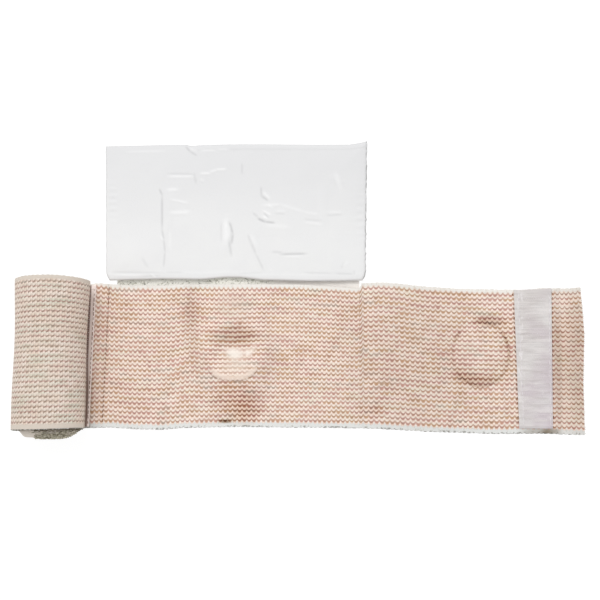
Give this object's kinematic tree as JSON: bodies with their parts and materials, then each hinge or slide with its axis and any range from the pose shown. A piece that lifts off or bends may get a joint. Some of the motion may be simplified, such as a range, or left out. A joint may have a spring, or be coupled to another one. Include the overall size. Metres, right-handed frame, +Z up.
{
  "type": "trauma bandage",
  "caption": "Elastic knit wrap, partly unrolled, with hook tapes, a round pressure cup under it and a white dressing pad folded out beside it.",
  "frame": {"origin": "on the surface that the bandage lies on, under the middle of its bounding box", "axes": "+X along the loose wrap, away from the roll; +Y from the wrap towards the dressing pad; +Z up"},
  "size_m": [0.3882, 0.2056, 0.0471],
  "materials": {
    "knit": "elastic knit, cream with coral zigzag rows",
    "padding": "soft white nonwoven",
    "backing": "thin mottled gauze layer",
    "cup_plastic": "off-white moulded",
    "hook": "fine ribbed hook tape, white with a lilac tint"
  },
  "bodies": {
    "root": {"elastic_wrap": "knit", "dressing_pad": "padding", "backing_layer": "backing", "pressure_cup": "cup_plastic", "end_hook_tape": "hook", "roll_hook_tape": "hook"}
  },
  "joints": []
}
